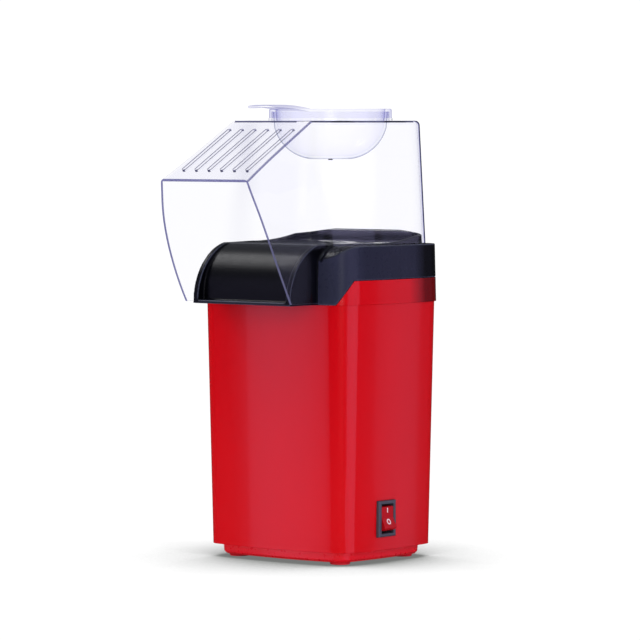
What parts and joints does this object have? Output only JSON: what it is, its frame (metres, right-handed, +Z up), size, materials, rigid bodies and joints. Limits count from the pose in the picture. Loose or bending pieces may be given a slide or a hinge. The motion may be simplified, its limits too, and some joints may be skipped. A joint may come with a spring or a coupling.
{
  "type": "hot-air popcorn maker",
  "caption": "Compact hot-air popcorn maker: tapered red housing, black collar with a front chute, clear lift-off hood and nested measuring cup.",
  "frame": {"origin": "centre of the base, on the surface that the feet stand on", "axes": "+Z up, -Y out of the chute and the hood's mouth, +X towards the side with the rocker switch"},
  "size_m": [0.1176, 0.1557, 0.265],
  "materials": {
    "red_plastic": "high-gloss moulded red",
    "foot_rubber": "matt dark red rubber",
    "screw_steel": "zinc-plated",
    "black_plastic": "high-gloss moulded black",
    "clear_plastic": "clear moulded plastic, faint blue-violet tint",
    "switch_black": "satin black",
    "rocker_red": "glossy translucent red",
    "mark_white": "printed white",
    "brass": "plain",
    "copper": "plain copper",
    "tray_plastic": "heat-resistant moulded plastic",
    "impeller_plastic": "natural nylon",
    "bright_steel": "bright rolled steel",
    "magnet_dark": "sintered ferrite",
    "carbon": "carbon",
    "aluminium": "spun aluminium",
    "gasket_white": "silicone",
    "heater_wire": "oxidised resistance wire",
    "mica": "pressed mica",
    "board_green": "lacquered board",
    "gland_black": "moulded flexible plastic",
    "lead_insulation": "heat-resistant sleeve"
  },
  "bodies": {
    "root": {"outer_housing": "red_plastic", "base_plate": "red_plastic", "base_feet": "foot_rubber", "base_screws": "screw_steel", "top_collar": "black_plastic", "collar_trim_band": "red_plastic", "collar_screws": "screw_steel", "switch_body": "switch_black", "switch_terminals": "brass", "fan_tray": "tray_plastic", "fan_tray_screws": "screw_steel", "motor_can": "bright_steel", "motor_end_cap": "tray_plastic", "motor_bearings": "brass", "motor_magnets": "magnet_dark", "motor_brushes": "carbon", "motor_screws": "screw_steel", "duct_sleeve": "bright_steel", "popping_chamber": "aluminium", "chamber_gasket": "gasket_white", "heater_coil": "heater_wire", "heater_frame": "mica", "mica_liner": "mica", "heater_terminals": "brass", "thermostat_bracket": "bright_steel", "thermostat": "tray_plastic", "thermal_fuse": "bright_steel", "rectifier_board": "board_green", "rectifier_diodes": "switch_black", "board_capacitor": "switch_black", "cord_gland": "gland_black", "lead_supply_to_switch": "lead_insulation", "lead_switch_to_heater": "lead_insulation"},
    "fan": {"fan_impeller": "impeller_plastic", "motor_shaft": "bright_steel", "shaft_clip": "bright_steel", "motor_armature": "bright_steel", "motor_commutator": "copper"},
    "rocker": {"rocker_button": "rocker_red", "rocker_marks": "mark_white"},
    "hood": {"clear_hood": "clear_plastic"},
    "cup": {"measuring_cup": "clear_plastic"}
  },
  "joints": [
    {"name": "fan_spin", "type": "hinge", "parent": "root", "child": "fan", "pos_m": [0, 0, 0.0625], "axis": [0, 0, 1], "continuous": true},
    {"name": "rocker_tilt", "type": "hinge", "parent": "root", "child": "rocker", "pos_m": [0.0537, -0.0061, 0.0258], "axis": [0, 1, 0], "range_deg": [0, 24]},
    {"name": "hood_lift", "type": "slide", "parent": "root", "child": "hood", "axis": [0, 0, 1], "range_m": [0, 0.045]},
    {"name": "cup_lift", "type": "slide", "parent": "hood", "child": "cup", "axis": [0, 0, 1], "range_m": [0, 0.03]}
  ]
}
